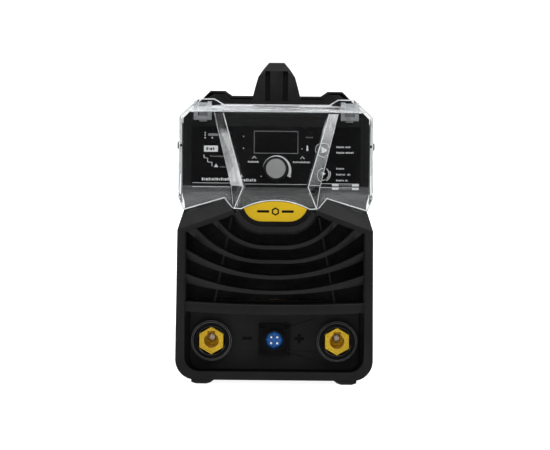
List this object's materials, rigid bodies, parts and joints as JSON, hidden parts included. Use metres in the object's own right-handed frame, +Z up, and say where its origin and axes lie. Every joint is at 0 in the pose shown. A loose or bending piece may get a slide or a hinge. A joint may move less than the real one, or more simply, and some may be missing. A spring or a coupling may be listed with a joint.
{
  "type": "tig welder",
  "caption": "Black inverter TIG welding power source with a clear flip-up cover over its control panel, a louvred front, panel sockets, a top handle and a rear fan.",
  "frame": {"origin": "on the ground under the middle of the machine", "axes": "+X to the right seen from the front, the front faces -Y, +Z up"},
  "size_m": [0.2066, 0.45, 0.333],
  "materials": {
    "case_paint": "fine textured powder coat, black",
    "bezel_plastic": "satin textured black plastic",
    "dark_plastic": "near-black satin plastic",
    "gloss_black": "gloss black",
    "overlay": "gloss printed film",
    "foam": "open foam",
    "rubber": "moulded rubber",
    "badge_yellow": "satin yellow",
    "clear": "clear polycarbonate",
    "display_glass": "smoked window",
    "board_green": "solder mask",
    "knob_grey": "satin light grey",
    "brass": "machined brass",
    "steel": "zinc plated",
    "insert_blue": "blue moulded insert",
    "switch_red": "gloss red",
    "plate_silver": "blank anodised label",
    "heatsink": "extruded aluminium",
    "ferrite": "ferrite",
    "copper": "copper",
    "capacitor_sleeve": "heat-shrink sleeve"
  },
  "bodies": {
    "root": {"base_pan": "case_paint", "case_cover": "case_paint", "case_screws": "steel", "rubber_feet": "rubber", "front_bezel": "bezel_plastic", "louvre_grille": "bezel_plastic", "dust_filter": "foam", "connector_panel": "bezel_plastic", "badge_trim": "bezel_plastic", "badge_plate": "badge_yellow", "control_fascia": "bezel_plastic", "fascia_overlay": "overlay", "display_window": "display_glass", "display_module": "dark_plastic", "control_board": "board_green", "encoder_body": "steel", "hinge_brackets": "bezel_plastic", "hinge_pins": "steel", "socket_collar_minus": "gloss_black", "socket_collar_plus": "gloss_black", "socket_body_minus": "brass", "socket_body_plus": "brass", "socket_bolt_minus": "steel", "socket_bolt_plus": "steel", "polarity_marks": "dark_plastic", "remote_flange": "gloss_black", "remote_insert": "insert_blue", "remote_pins": "steel", "remote_screws": "steel", "handle_frame": "bezel_plastic", "handle_grip": "rubber", "handle_screws": "steel", "rear_bezel": "bezel_plastic", "fan_guard": "steel", "fan_frame": "dark_plastic", "switch_housing": "gloss_black", "gland_body": "dark_plastic", "gland_nut": "dark_plastic", "earth_stud": "steel", "earth_nuts": "brass", "rating_plate": "plate_silver", "power_board": "board_green", "heatsinks": "heatsink", "power_modules": "dark_plastic", "filter_capacitors": "capacitor_sleeve", "transformer_core": "ferrite", "transformer_winding": "copper", "choke_core": "ferrite", "choke_winding": "copper", "busbars": "copper"},
    "cover": {"clear_cover": "clear", "cover_side_studs": "dark_plastic"},
    "encoder_press": {"encoder_collar": "dark_plastic"},
    "knob": {"encoder_shaft": "steel", "knob_body": "dark_plastic", "knob_cap": "knob_grey"},
    "upper_button": {"button_upper": "gloss_black"},
    "lower_button": {"button_lower": "gloss_black"},
    "rocker": {"switch_rocker": "switch_red"},
    "rotor": {"fan_rotor": "dark_plastic"}
  },
  "joints": [
    {"name": "cover_flip", "type": "hinge", "parent": "root", "child": "cover", "pos_m": [0, -0.178, 0.286], "axis": [-1, 0, 0], "range_deg": [0, 100]},
    {"name": "knob_push", "type": "slide", "parent": "root", "child": "encoder_press", "axis": [0, 0.9945, -0.1045], "range_m": [0, 0.0006], "stiffness_N_per_m": 6000},
    {"name": "knob_turn", "type": "hinge", "parent": "encoder_press", "child": "knob", "pos_m": [0, -0.17622, 0.22182], "axis": [0, 0.9945, -0.1045], "continuous": true},
    {"name": "upper_button_push", "type": "slide", "parent": "root", "child": "upper_button", "axis": [0, 0.9945, -0.1045], "range_m": [0, 0.001], "stiffness_N_per_m": 3000},
    {"name": "lower_button_push", "type": "slide", "parent": "root", "child": "lower_button", "axis": [0, 0.9945, -0.1045], "range_m": [0, 0.001], "stiffness_N_per_m": 3000},
    {"name": "mains_rocker", "type": "hinge", "parent": "root", "child": "rocker", "pos_m": [-0.055, 0.205, 0.058], "axis": [1, 0, 0], "range_deg": [0, 20]},
    {"name": "fan_spin", "type": "hinge", "parent": "root", "child": "rotor", "pos_m": [0, 0.194, 0.19], "axis": [0, 1, 0], "continuous": true}
  ]
}
